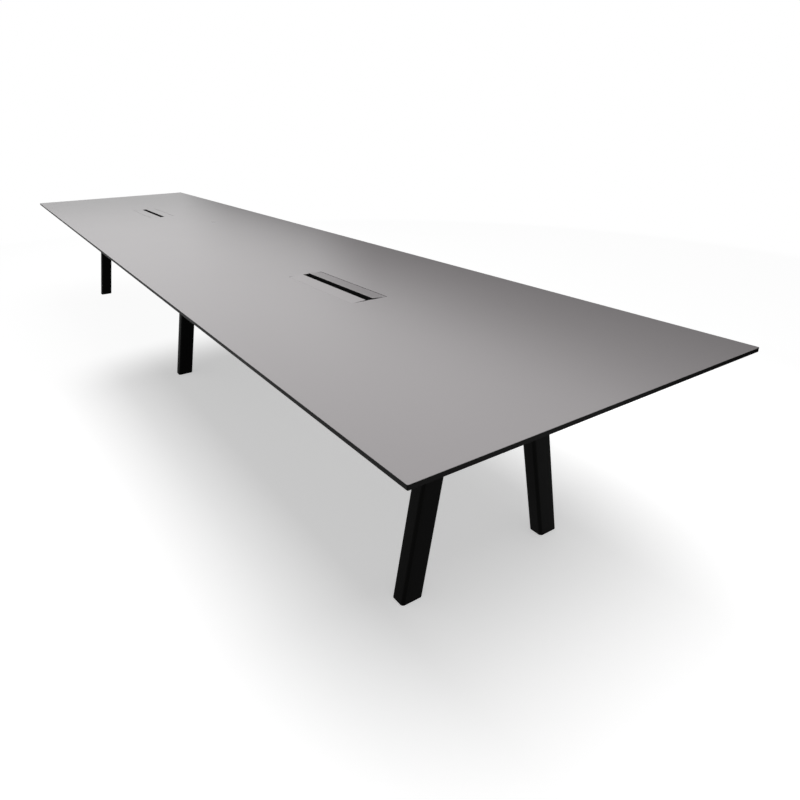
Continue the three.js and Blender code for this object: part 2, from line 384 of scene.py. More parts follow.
class EdgeWear(Effect):
    """A mask along outer edges, broken up where hands and tools have missed them."""

    name = "edge_wear"
    inputs = (Port("Radius"), Port("Scale"), Port("Amount"))
    outputs = (Port("Mask"),)
    turn_range: ClassVar[tuple[float, float]] = (0.02, 0.22)
    patch_range: ClassVar[tuple[float, float]] = (0.42, 0.62)

    @classmethod
    def wire_up(cls, bench: Bench, inputs: bpy.types.NodeOutputs, outputs: bpy.types.NodeInputs) -> None:
        """Compares the surface's normal with one rounded over its edges.

        Args:
            bench: the group's own bench.
            inputs: the sockets that bring the values in.
            outputs: the sockets that take the results out.
        """
        rounded = bench.lay("ShaderNodeBevel", samples=6)
        bench.feed(rounded.inputs["Radius"], inputs["Radius"])
        plain = bench.lay("ShaderNodeNewGeometry").outputs["Normal"]
        level = bench.vector("DOT_PRODUCT", rounded.outputs[0], plain).outputs["Value"]
        edge = bench.span(bench.sum("SUBTRACT", 1.0, level), cls.turn_range, (0.0, 1.0))
        patches = bench.span(bench.noise(bench.place(), inputs["Scale"], 4.0), cls.patch_range, (0.0, 1.0))
        worn = bench.sum("MULTIPLY", edge, patches)
        bench.feed(outputs["Mask"], bench.sum("MULTIPLY", worn, inputs["Amount"], clamp=True))


class FloorDust(Effect):
    """Dust and scuffs that thin out with the height above the floor."""

    name = "floor_dust"
    inputs = (Port("Reach"), Port("Scale"), Port("Amount"))
    outputs = (Port("Mask"),)
    patch_range: ClassVar[tuple[float, float]] = (0.4, 0.75)

    @classmethod
    def wire_up(cls, bench: Bench, inputs: bpy.types.NodeOutputs, outputs: bpy.types.NodeInputs) -> None:
        """Fades a patchy noise with the height.

        Args:
            bench: the group's own bench.
            inputs: the sockets that bring the values in.
            outputs: the sockets that take the results out.
        """
        place = bench.place()
        height = bench.lay("ShaderNodeSeparateXYZ")
        bench.feed(height.inputs[0], place)
        near = bench.span(height.outputs["Z"], (0.0, inputs["Reach"]), (1.0, 0.0), "SMOOTHSTEP")
        patches = bench.span(bench.noise(place, inputs["Scale"], 5.0), cls.patch_range, (0.0, 1.0))
        dusty = bench.sum("MULTIPLY", near, patches)
        bench.feed(outputs["Mask"], bench.sum("MULTIPLY", dusty, inputs["Amount"], clamp=True))


@dataclass(frozen=True)
class Finish:
    """What all finishes have: a colour and a roughness that drift, and a fine texture."""

    name: str
    slot: Slot
    colour: Colour
    roughness: float
    colour_amount: float = 0.05
    colour_scale: float = 3.0
    roughness_amount: float = 0.05
    roughness_scale: float = 9.0
    texture_stretch: Colour = (1.0, 1.0, 1.0)
    texture_scale: float = 1200.0
    texture_depth: float = 0.00002
    texture_strength: float = 0.4
    metallic: float = 0.0
    specular: float = 0.5

    def material(self) -> bpy.types.Material:
        """Finds the finish's material, and makes it the first time.

        Returns:
            The material.
        """
        found = bpy.data.materials.get(self.name)
        if found is None:
            found = bpy.data.materials.new(self.name)
            found.use_nodes = True
            self.wire_up(Bench(found.node_tree), found.node_tree.nodes["Principled BSDF"])
        return found

    def wire_up(self, bench: Bench, shader: bpy.types.Node) -> None:
        """Lays the finish's nodes.

        Args:
            bench: the material's bench.
            shader: the material's own shader.
        """
        drift = SurfaceDrift.put(
            bench, opaque(self.colour), self.colour_amount, self.colour_scale,
            self.roughness, self.roughness_amount, self.roughness_scale,
        )
        colour, roughness = self.marked(bench, drift["Colour"], drift["Roughness"])
        bench.feed(shader.inputs["Base Color"], colour)
        bench.feed(shader.inputs["Roughness"], roughness)
        shader.inputs["Metallic"].default_value = self.metallic
        shader.inputs["Specular IOR Level"].default_value = self.specular
        texture = FineTexture.put(bench, self.texture_stretch, self.texture_scale)
        bump = bench.lay("ShaderNodeBump")
        bump.inputs["Strength"].default_value = self.texture_strength
        bump.inputs["Distance"].default_value = self.texture_depth
        bench.feed(bump.inputs["Height"], texture["Height"])
        bench.feed(shader.inputs["Normal"], bump.outputs[0])

    def marked(self, bench: Bench, colour: Feed, roughness: Feed) -> tuple[Feed, Feed]:
        """Adds the finish's own marks, which the plain one has none of.

        Args:
            bench: the material's bench.
            colour: the drifting colour.
            roughness: the drifting roughness.

        Returns:
            The colour and the roughness with the marks.
        """
        return colour, roughness


@dataclass(frozen=True)
class DecorPaper(Finish):
    """A matt grey pressed face with a faint fleck in its paper."""

    fleck_scale: float = 620.0
    fleck_range: tuple[float, float] = (0.35, 0.65)
    fleck_share: float = 0.05
    fleck_colour: Colour = (0.12, 0.115, 0.12)

    def marked(self, bench: Bench, colour: Feed, roughness: Feed) -> tuple[Feed, Feed]:
        """Mixes a darker fleck into the paper's colour.

        Args:
            bench: the material's bench.
            colour: the drifting colour.
            roughness: the drifting roughness.

        Returns:
            The flecked colour and the roughness as it was.
        """
        fleck = bench.noise(bench.place(), self.fleck_scale, 3.0)
        share = bench.span(fleck, self.fleck_range, (0.0, self.fleck_share))
        return bench.blend(share, colour, opaque(self.fleck_colour)), roughness


@dataclass(frozen=True)
class PressedCore(Finish):
    """A black core whose cut edges show the layers of paper that it is pressed from, with faces that point
    down painted paler as fill light for the shaded underside.
    """

    layer_pitch: float = 0.0006
    layer_share: float = 0.35
    layer_colour: Colour = (0.0065, 0.006, 0.0058)
    saw_scale: tuple[float, float, float] = (40.0, 40.0, 900.0)
    # Painted fill light: faces that point down are painted paler, because the lamps leave the underside in
    # shade.
    painted_fill_turn: tuple[float, float] = (-0.95, -0.7)
    painted_fill_colour: Colour = (0.03, 0.0295, 0.029)

    def marked(self, bench: Bench, colour: Feed, roughness: Feed) -> tuple[Feed, Feed]:
        """Draws level lines with a little waver, lightens along them, and paints the faces that point down
        paler, as fill light for the shaded underside.

        Args:
            bench: the material's bench.
            colour: the drifting colour.
            roughness: the drifting roughness.

        Returns:
            The layered colour with its painted fill light underneath, and the roughness as it was.
        """
        place = bench.place()
        height = bench.lay("ShaderNodeSeparateXYZ")
        bench.feed(height.inputs[0], place)
        waver = bench.noise(bench.vector("MULTIPLY", place, self.saw_scale).outputs[0], 1.0, 2.0)
        turns = bench.sum("MULTIPLY", height.outputs["Z"], 2.0 * math.pi / self.layer_pitch)
        wave = bench.sum("SINE", bench.sum("ADD", turns, bench.sum("MULTIPLY", waver, 9.0)))
        share = bench.span(wave, (-1.0, 1.0), (0.0, self.layer_share))
        layered = bench.blend(share, colour, opaque(self.layer_colour))
        facing = bench.lay("ShaderNodeSeparateXYZ")
        bench.feed(facing.inputs[0], bench.lay("ShaderNodeTexCoord").outputs["Normal"])
        # Painted fill light: the faces that point down get the paler colour.
        back = bench.span(facing.outputs["Z"], self.painted_fill_turn, (1.0, 0.0))
        return bench.blend(back, layered, opaque(self.painted_fill_colour)), roughness


@dataclass(frozen=True)
class WornCoat(Finish):
    """A sprayed or moulded black finish with rubbed edges and dust near the floor."""

    wear_radius: float = 0.0012
    wear_scale: float = 60.0
    wear_amount: float = 0.5
    wear_colour: Colour = (0.006, 0.006, 0.0058)
    dust_reach: float = 0.25
    dust_scale: float = 45.0
    dust_amount: float = 0.25
    dust_colour: Colour = (0.004, 0.0039, 0.0036)
    dust_roughness: float = 0.8

    def marked(self, bench: Bench, colour: Feed, roughness: Feed) -> tuple[Feed, Feed]:
        """Lightens the edges, and dulls the surface towards the floor.

        Args:
            bench: the material's bench.
            colour: the drifting colour.
            roughness: the drifting roughness.

        Returns:
            The worn colour and the dusty roughness.
        """
        wear = EdgeWear.put(bench, self.wear_radius, self.wear_scale, self.wear_amount)["Mask"]
        dust = FloorDust.put(bench, self.dust_reach, self.dust_scale, self.dust_amount)["Mask"]
        worn = bench.blend(wear, colour, opaque(self.wear_colour))
        dusty = bench.blend(dust, worn, opaque(self.dust_colour))
        return dusty, bench.span(dust, (0.0, 1.0), (roughness, self.dust_roughness))


DECOR_FACE = DecorPaper(
    "decor_face_laminate", Slot.DECOR_FACE, (0.251, 0.2375, 0.2415), 0.28,
    colour_amount=0.02, colour_scale=1.3, roughness_amount=0.012, roughness_scale=4.0,
    texture_scale=1500.0, texture_depth=0.00003, texture_strength=0.35,
)
BLACK_CORE = PressedCore(
    "black_core_laminate", Slot.BLACK_CORE, (0.0024, 0.0024, 0.0024), 0.5,
    colour_amount=0.12, texture_stretch=(0.15, 0.15, 1.0), texture_scale=1600.0, specular=0.04,
)
POWDER_COAT = WornCoat(
    "black_powder_coat", Slot.POWDER_COAT, (0.0016, 0.0016, 0.0015), 0.52,
    colour_amount=0.12, texture_scale=900.0, texture_depth=0.00005, texture_strength=0.5, specular=0.03,
)
# The legs' black powder coat, painted paler as fill light for the frame and the trays, which lie in shade
# under the board.
FRAME_COAT_PAINTED_FILL = WornCoat(
    "black_frame_coat", Slot.POWDER_COAT, (0.014, 0.014, 0.0136), 0.48,
    colour_amount=0.12, texture_scale=900.0, texture_depth=0.00005, texture_strength=0.5, specular=0.3,
    wear_colour=(0.05, 0.05, 0.048), dust_amount=0.0,
)
# The legs' black powder coat on the weld beads, painted paler as fill light, because the beads lie in shade
# under the board.
WELD_COAT_PAINTED_FILL = WornCoat(
    "powder_coat_on_weld", Slot.POWDER_COAT, (0.013, 0.013, 0.0126), 0.45,
    colour_amount=0.15, texture_scale=1500.0, texture_depth=0.00004, specular=0.3, wear_amount=0.2,
    wear_colour=(0.04, 0.04, 0.039), dust_amount=0.0,
)
BLACK_PLASTIC = WornCoat(
    "moulded_black_plastic", Slot.BLACK_PLASTIC, (0.0018, 0.0018, 0.0018), 0.6,
    texture_scale=2600.0, texture_depth=0.00003, texture_strength=0.6, specular=0.03,
    wear_radius=0.0008, wear_amount=0.35, dust_reach=0.06, dust_scale=120.0, dust_amount=0.5,
)
GROUND_STEEL = Finish(
    "ground_pin_steel", Slot.PIN_STEEL, (0.36, 0.37, 0.38), 0.3,
    colour_amount=0.1, colour_scale=60.0, roughness_amount=0.08, roughness_scale=90.0,
    texture_stretch=(8.0, 1.0, 1.0), texture_scale=900.0, texture_depth=0.00001, metallic=1.0,
)
ZINC_PLATE = WornCoat(
    "zinc_plated_steel", Slot.PIN_STEEL, (0.34, 0.345, 0.35), 0.38,
    colour_amount=0.14, colour_scale=140.0, roughness_amount=0.1, roughness_scale=160.0,
    texture_scale=2400.0, texture_depth=0.00001, metallic=1.0,
    wear_radius=0.0004, wear_scale=300.0, wear_amount=0.6, wear_colour=(0.5, 0.5, 0.5),
    dust_amount=0.1, dust_colour=(0.1, 0.095, 0.09),
)


Wiring = Callable[[Bench, bpy.types.NodeSocket], bpy.types.NodeSocket]


class SolidDresser:
    """Gives the fixed solids their finishes and eases their edges with modifiers alone."""

    seam_distance: ClassVar[float] = 0.00001
    flat_angle: ClassVar[float] = math.radians(0.5)
    edge_angle: ClassVar[float] = math.radians(50.0)
    ease_steps: ClassVar[int] = 2

    @staticmethod
    def group(name: str, wiring: Wiring) -> bpy.types.NodeTree:
        """Finds a geometry node group, and builds it the first time.

        Args:
            name: the group's name.
            wiring: lays the nodes from the incoming mesh to the outgoing one.

        Returns:
            The node group.
        """
        found = bpy.data.node_groups.get(name)
        if found is not None:
            return found
        tree = bpy.data.node_groups.new(name, "GeometryNodeTree")
        tree.interface.new_socket("Mesh", in_out="INPUT", socket_type="NodeSocketGeometry")
        tree.interface.new_socket("Mesh", in_out="OUTPUT", socket_type="NodeSocketGeometry")
        bench = Bench(tree)
        made = wiring(bench, bench.lay("NodeGroupInput").outputs[0])
        bench.feed(bench.lay("NodeGroupOutput").inputs[0], made)
        return tree

    @classmethod
    def close_seams(cls, bench: Bench, mesh: bpy.types.NodeSocket) -> bpy.types.NodeSocket:
        """Joins the loose triangles of a solid at their shared corners.

        Args:
            bench: the group's bench.
            mesh: the incoming mesh.

        Returns:
            The closed mesh.
        """
        node = bench.lay("GeometryNodeMergeByDistance")
        bench.feed(node.inputs["Geometry"], mesh)
        bench.feed(node.inputs["Distance"], cls.seam_distance)
        return node.outputs[0]

    @classmethod
    def shade_round(cls, bench: Bench, mesh: bpy.types.NodeSocket) -> bpy.types.NodeSocket:
        """Shades the mesh smooth, with a hard line where two faces meet sharply.

        Args:
            bench: the group's bench.
            mesh: the incoming mesh.

        Returns:
            The shaded mesh.
        """
        turn = bench.lay("GeometryNodeInputMeshEdgeAngle").outputs["Unsigned Angle"]
        hard = bench.lay("FunctionNodeCompare", data_type="FLOAT", operation="GREATER_THAN")
        bench.feed(hard.inputs[0], turn)
        bench.feed(hard.inputs[1], cls.edge_angle)
        node = bench.lay("GeometryNodeSetMeshNormal", mode="SHARPNESS")
        bench.feed(node.inputs["Mesh"], mesh)
        bench.feed(node.inputs["Remove Custom"], True)
        bench.feed(node.inputs["Edge Sharpness"], hard.outputs[0])
        return node.outputs[0]

    @classmethod
    def dress(cls, node: str, finish: Finish, ease: float) -> None:
        """Puts a finish on a fixed solid and eases its edges.

        Args:
            node: the solid's name.
            finish: what it is finished in.
            ease: how far an edge is rounded.
        """
        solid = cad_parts[node]
        solid.material_slots[0].material = finish.material()
        seams = solid.modifiers.new("closed_seams", "NODES")
        seams.node_group = cls.group("closed_seams", cls.close_seams)
        flats = solid.modifiers.new("whole_flats", "DECIMATE")
        flats.decimate_type = "DISSOLVE"
        flats.angle_limit = cls.flat_angle
        eased = solid.modifiers.new("eased_edges", "BEVEL")
        eased.width = ease
        eased.segments = cls.ease_steps
        eased.limit_method = "ANGLE"
        eased.angle_limit = cls.edge_angle
        shading = solid.modifiers.new("round_shading", "NODES")
        shading.node_group = cls.group("round_shading", cls.shade_round)
        level = solid.modifiers.new("level_flats", "WEIGHTED_NORMAL")
        level.keep_sharp = True
        LOG.info("%s dressed in %s", node, finish.name)


class Shaper:
    """Collects skinned rings of points into one mesh."""

    smooth_angle: ClassVar[float] = math.radians(35.0)

    def __init__(self) -> None:
        """Starts with no points."""
        self.mesh = bmesh.new()

    def skin(self, rings: Sequence[Sequence[Vector]], looped: bool = False) -> None:
        """Joins rings of equally many points by faces.

        Args:
            rings: the rings, from one end to the other.
            looped: whether the last ring joins the first, and otherwise both ends are closed.
        """
        laid = [[self.mesh.verts.new(point) for point in ring] for ring in rings]
        pairs = list(zip(laid, laid[1:] + laid[:1])) if looped else list(zip(laid, laid[1:]))
        for low, high in pairs:
            for index in range(len(low)):
                after = (index + 1) % len(low)
                self.mesh.faces.new((low[index], low[after], high[after], high[index]))
        if not looped:
            self.mesh.faces.new(list(reversed(laid[0])))
            self.mesh.faces.new(laid[-1])

    def piece(self, name: str, finish: Finish, body: str) -> bpy.types.Object:
        """Turns what was collected into a piece of the table.

        Args:
            name: the piece's name.
            finish: what it is finished in.
            body: the body that carries it.

        Returns:
            The piece.
        """
        bmesh.ops.recalc_face_normals(self.mesh, faces=self.mesh.faces)
        data = bpy.data.meshes.new(name)
        self.mesh.to_mesh(data)
        self.mesh.free()
        data.shade_smooth()
        data.set_sharp_from_angle(angle=self.smooth_angle)
        data.materials.append(finish.material())
        made = bpy.data.objects.new(name, data)
        bpy.context.scene.collection.objects.link(made)
        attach(made, body)
        LOG.info("%s rides on %s in %s", name, body, finish.name)
        return made


def seat_frame(seat: Vector, axis: Vector, turn: float = 0.0) -> Matrix:
    """The frame of a fastener that stands on a face.

    Args:
        seat: the point where it stands.
        axis: the direction in which its head points.
        turn: how far it is turned about its axis.

    Returns:
        The matrix that carries the fastener's own points to the table.
    """
    upright = axis.to_track_quat("Z", "Y").to_matrix().to_4x4()
    return Matrix.Translation(seat) @ upright @ Matrix.Rotation(turn, 4, "Z")


def circle(radius: Callable[[float], float], height: Callable[[float], float], sides: int) -> list[Vector]:
    """A ring about the Z axis whose radius and height may change round it.

    Args:
        radius: the radius at an angle.
        height: the height at an angle.
        sides: how many points the ring has.

    Returns:
        The points of the ring.
    """
    turns = [2.0 * math.pi * index / sides for index in range(sides)]
    return [Vector((radius(a) * math.cos(a), radius(a) * math.sin(a), height(a))) for a in turns]


def hexagon(across: float) -> Callable[[float], float]:
    """Describes a hexagon by its radius at an angle.

    Args:
        across: its width across flats.

    Returns:
        The function from an angle to the radius.
    """
    sixth = math.pi / 3.0
    return lambda angle: across / 2.0 / math.cos((angle + sixth / 2.0) % sixth - sixth / 2.0)


@dataclass(frozen=True)
class HexBolt:
    """A hexagon bolt on a plain washer."""

    across: float = 0.013
    head_height: float = 0.0053
    washer_radius: float = 0.008
    washer_height: float = 0.0016
    washer_chamfer: float = 0.0003
    crown: float = 0.94
    chamfer_slope: float = math.tan(math.radians(30.0))
    sides: int = 24

    def add_to(self, shaper: Shaper, place: Matrix) -> None:
        """Adds the washer and the head.

        Args:
            shaper: what the bolt is added to.
            place: the bolt's frame.
        """
        washer = (
            (self.washer_radius, 0.0),
            (self.washer_radius, self.washer_height - self.washer_chamfer),
            (self.washer_radius - self.washer_chamfer, self.washer_height),
        )
        rings = [circle(lambda a, r=r: r, lambda a, z=z: z, self.sides) for r, z in washer]
        shaper.skin([[place @ point for point in ring] for ring in rings])
        flank = hexagon(self.across)
        crown = self.across / 2.0 * self.crown
        top = self.washer_height + self.head_height
        head = [
            circle(flank, lambda a: self.washer_height, self.sides),
            circle(flank, lambda a: top - (flank(a) - crown) * self.chamfer_slope, self.sides),
            circle(lambda a: crown, lambda a: top, self.sides),
        ]
        shaper.skin([[place @ point for point in ring] for ring in head])


@dataclass(frozen=True)
class ButtonScrew:
    """A screw with a low domed head and a hexagon socket."""

    radius: float = 0.0055
    height: float = 0.0032
    rim: float = 0.0006
    socket: float = 0.004
    socket_depth: float = 0.0022
    dome_steps: int = 4
    sides: int = 24

    def add_to(self, shaper: Shaper, place: Matrix) -> None:
        """Adds the head.

        Args:
            shaper: what the screw is added to.
            place: the screw's frame.
        """
        recess = hexagon(self.socket)
        lip = self.socket / 2.0 * 1.3
        rings = [circle(lambda a: self.radius, lambda a: 0.0, self.sides)]
        for step in range(self.dome_steps + 1):
            lean = math.pi / 2.0 * step / self.dome_steps
            wide = lip + (self.radius - lip) * math.cos(lean)
            high = self.rim + (self.height - self.rim) * math.sin(lean)
            rings.append(circle(lambda a, r=wide: r, lambda a, z=high: z, self.sides))
        rings.append(circle(recess, lambda a: self.height, self.sides))
        rings.append(circle(recess, lambda a: self.height - self.socket_depth, self.sides))
        shaper.skin([[place @ point for point in ring] for ring in rings])


@dataclass(frozen=True)
class WeldBead:
    """A rippled fillet weld that fills the corner between two faces."""

    radius: float = 0.0036
    ripple_pitch: float = 0.0032
    ripple_share: float = 0.12
    step: float = 0.0008
    tail: float = 0.35
    sides: int = 10

    def walk(self, corners: Sequence[Vector], looped: bool) -> list[tuple[Vector, Vector]]:
        """Goes along a line in small equal steps.

        Args:
            corners: the points of the line.
            looped: whether the line comes back to its start.

        Returns:
            Each step's point and direction.
        """
        legs = list(zip(corners, list(corners[1:]) + list(corners[:1])))
        legs = legs if looped else legs[:-1]
        steps = []
        for start, stop in legs:
            count = max(1, round((stop - start).length / self.step))
            heading = (stop - start).normalized()
            steps += [(start.lerp(stop, index / count), heading) for index in range(count)]
        if not looped:
            steps.append((corners[-1], steps[-1][1]))
        return steps

    def add_to(self, shaper: Shaper, corners: Sequence[Vector], face: Vector, looped: bool) -> None:
        """Adds the bead along a corner.

        Args:
            shaper: what the bead is added to.
            corners: the points of the corner line.
            face: the normal of one of the two faces.
            looped: whether the line comes back to its start.
        """
        steps = self.walk(corners, looped)
        ripples = max(1, round(len(steps) * self.step / self.ripple_pitch))
        rings = []
        for index, (point, heading) in enumerate(steps):
            wave = math.sin(2.0 * math.pi * ripples * index / len(steps))
            wide = self.radius * (1.0 + self.ripple_share * wave)
            if not looped and index in (0, len(steps) - 1):
                wide *= self.tail
            across = heading.cross(face).normalized()
            turns = [2.0 * math.pi * side / self.sides for side in range(self.sides)]
            rings.append([point + wide * (math.cos(a) * face + math.sin(a) * across) for a in turns])
        shaper.skin(rings, looped)


def rounded_outline(middle: Vector, width: float, depth: float, radius: float,
                    steps: int = 5) -> list[Vector]:
    """A level rectangle with round corners.

    Args:
        middle: its middle.
        width: its size along X.
        depth: its size along Y.
        radius: the radius of its corners.
        steps: how many flats a corner has.

    Returns:
        The points of the outline.
    """
    points = []
    for quarter, (right, back) in enumerate(((1, 1), (-1, 1), (-1, -1), (1, -1))):
        corner = middle + Vector((right * (width / 2.0 - radius), back * (depth / 2.0 - radius), 0.0))
        for step in range(steps + 1):
            angle = math.pi / 2.0 * (quarter + step / steps)
            points.append(corner + radius * Vector((math.cos(angle), math.sin(angle), 0.0)))
    return points


@dataclass
class TableTop:
    """The board: a black core with a grey decor face."""

    core_ease: float = 0.0003
    face_ease: float = 0.00025

    def build(self) -> None:
        """Dresses the core and the face."""
        SolidDresser.dress("top_core", BLACK_CORE, self.core_ease)
        SolidDresser.dress("top_face", DECOR_FACE, self.face_ease)


@dataclass
class CablePorts:
    """The two ports: their flaps on pins, and the trays that hang under them."""

    flap_ease: float = 0.00025
    pin_ease: float = 0.0004
    tray_ease: float = 0.0005
    flange: float = 0.020
    flange_thickness: float = 0.002
    long_screw_spread: float = 0.220
    short_screw_spread: float = 0.055
    screw: ButtonScrew = field(default_factory=ButtonScrew)

    def build(self) -> None:
        """Dresses both ports and screws their trays to the board."""
        for end in End:
            for side in Side:
                flap = f"{word(end)}_{word(side)}_flap"
                SolidDresser.dress(f"{flap}_core", BLACK_CORE, self.flap_ease)
                SolidDresser.dress(f"{flap}_face", DECOR_FACE, self.flap_ease)
                for tip in End:
                    SolidDresser.dress(f"{flap}_{word(tip)}_pin", GROUND_STEEL, self.pin_ease)
            SolidDresser.dress(f"{word(end)}_cable_tray", FRAME_COAT_PAINTED_FILL, self.tray_ease)
            self.tray_screws(end)

    def tray_screws(self, end: End) -> None:
        """Puts screws through a tray's flange, up into the board.

        Args:
            end: the end whose tray it is.
        """
        low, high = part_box(f"{word(end)}_cable_tray")
        middle = (low + high) / 2.0
        seat = high.z - self.flange_thickness
        reach_x = (high.x - low.x - self.flange) / 2.0
        reach_y = (high.y - low.y - self.flange) / 2.0
        along = (-self.long_screw_spread, 0.0, self.long_screw_spread)
        across = (-self.short_screw_spread, self.short_screw_spread)
        spots = [(x, y * reach_y) for x in along for y in (-1, 1)]
        spots += [(x * reach_x, y) for x in (-1, 1) for y in across]
        shaper = Shaper()
        for index, (x, y) in enumerate(spots):
            point = Vector((middle.x + x, middle.y + y, seat))
            self.screw.add_to(shaper, seat_frame(point, Vector((0.0, 0.0, -1.0)), turn=index))
        shaper.piece(f"{word(end)}_tray_screws", ZINC_PLATE, TABLE_BODY)


@dataclass
class LegPairs:
    """The leaning legs, with their head bolts, weld beads, foot caps and levelling glides."""

    leg_ease: float = 0.0006
    cap_ease: float = 0.0005
    tube_width: float = 0.056
    tube_depth: float = 0.078
    tube_radius: float = 0.011
    plate_thickness: float = 0.006
    plate_length: float = 0.168
    bolt_across: float = 0.026
    bolt_along: float = 0.0615
    pad_height: float = 0.006
    pad_round: float = 0.0012
    pad_dish: float = 0.0006
    pad_notches: int = 12
    notch_depth: float = 0.0006
    pad_sides: int = 96
    stud_radius: float = 0.005
    thread_pitch: float = 0.0015
    thread_depth: float = 0.0009
    thread_steps: int = 6
    thread_sides: int = 24
    bolt: HexBolt = field(default_factory=HexBolt)
    bead: WeldBead = field(default_factory=WeldBead)

    def build(self) -> None:
        """Builds and dresses the three pairs."""
        for row in Row:
            for side in Side:
                name = f"{word(row)}_{word(side)}"
                SolidDresser.dress(f"{name}_leg", POWDER_COAT, self.leg_ease)
                SolidDresser.dress(f"{name}_foot_cap", BLACK_PLASTIC, self.cap_ease)
                self.head_fixings(name, side)
                self.glide(name)

    def head_fixings(self, name: str, side: Side) -> None:
        """Bolts a leg's head plate to the beam, and welds the tube to the plate.

        Args:
            name: the leg's row and side.
            side: the side that the leg is on.
        """
        low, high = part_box(f"{name}_leg")
        inner = min(abs(low.y), abs(high.y))
        seat = high.z - self.plate_thickness
        middle = Vector(((low.x + high.x) / 2.0, side.value * (inner + self.plate_length / 2.0), seat))
        bolts = Shaper()
        for index, (x, y) in enumerate(((-1, -1), (-1, 1), (1, -1), (1, 1))):
            point = middle + Vector((x * self.bolt_across, y * self.bolt_along, 0.0))
            self.bolt.add_to(bolts, seat_frame(point, Vector((0.0, 0.0, -1.0)), turn=0.7 * index))
        bolts.piece(f"{name}_head_bolts", ZINC_PLATE, TABLE_BODY)
        weld = Shaper()
        outline = rounded_outline(middle, self.tube_width, self.tube_depth, self.tube_radius)
        self.bead.add_to(weld, outline, Vector((0.0, 0.0, -1.0)), looped=True)
        weld.piece(f"{name}_head_weld", WELD_COAT_PAINTED_FILL, TABLE_BODY)

    def glide(self, name: str) -> None:
        """Builds a levelling glide: a notched plastic pad on a threaded stud.

        Args:
            name: the glide's row and side.
        """
        low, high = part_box(f"{name}_glide")
        foot = Vector(((low.x + high.x) / 2.0, (low.y + high.y) / 2.0, low.z))
        self.pad(name, foot, (high.x - low.x) / 2.0)
        self.stud(name, foot, high.z - low.z)

    def pad(self, name: str, foot: Vector, radius: float) -> None:
        """Builds the pad, which stands for the glide's fixed solid.

        Args:
            name: the glide's row and side.
            foot: the middle of the pad's underside.
            radius: the pad's radius.
        """
        def rim(angle: float) -> float:
            """Works out the pad's radius, drawn in at the notches.

            Args:
                angle: the angle about the pad's axis.

            Returns:
                The radius there.
            """
            return radius - self.notch_depth * max(0.0, math.cos(self.pad_notches * angle)) ** 4

        heights = (
            (0.3, self.pad_dish), (0.75, self.pad_dish), (0.8, 0.0),
            (1.0 - self.pad_round / radius, 0.0),
            (1.0 - 0.3 * self.pad_round / radius, 0.3 * self.pad_round),
            (1.0, self.pad_round), (1.0, self.pad_height - self.pad_round),
            (1.0 - 0.3 * self.pad_round / radius, self.pad_height - 0.3 * self.pad_round),
            (1.0 - self.pad_round / radius, self.pad_height), (0.3, self.pad_height),
        )
        shaper = Shaper()
        rings = [circle(lambda a, s=s: s * rim(a), lambda a, z=z: z, self.pad_sides) for s, z in heights]
        shaper.skin([[foot + point for point in ring] for ring in rings])
        pad = shaper.piece(f"{name}_glide_pad", BLACK_PLASTIC, f"{name}_glide")
        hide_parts(f"{name}_glide")

    def stud(self, name: str, foot: Vector, top: float) -> None:
        """Builds the threaded stud that the pad turns on.

        Args:
            name: the glide's row and side.
            foot: the middle of the pad's underside.
            top: the stud's upper end above the foot.
        """
        def flank(angle: float, height: float) -> float:
            """Works out the thread's radius: a triangle wave that climbs one pitch a turn.

            Args:
                angle: the angle about the stud's axis.
                height: the height above the foot.

            Returns:
                The radius there.
            """
            phase = (height / self.thread_pitch - angle / (2.0 * math.pi)) % 1.0
            return self.stud_radius - self.thread_depth * abs(2.0 * phase - 1.0)

        step = self.thread_pitch / self.thread_steps
        count = int((top - self.pad_height) / step)
        heights = [self.pad_height + step * index for index in range(count + 1)]
        shaper = Shaper()
        rings = [circle(lambda a, z=z: flank(a, z), lambda a, z=z: z, self.thread_sides) for z in heights]
        shaper.skin([[foot + point for point in ring] for ring in rings])
        shaper.piece(f"{name}_glide_stud", ZINC_PLATE, f"{name}_glide")


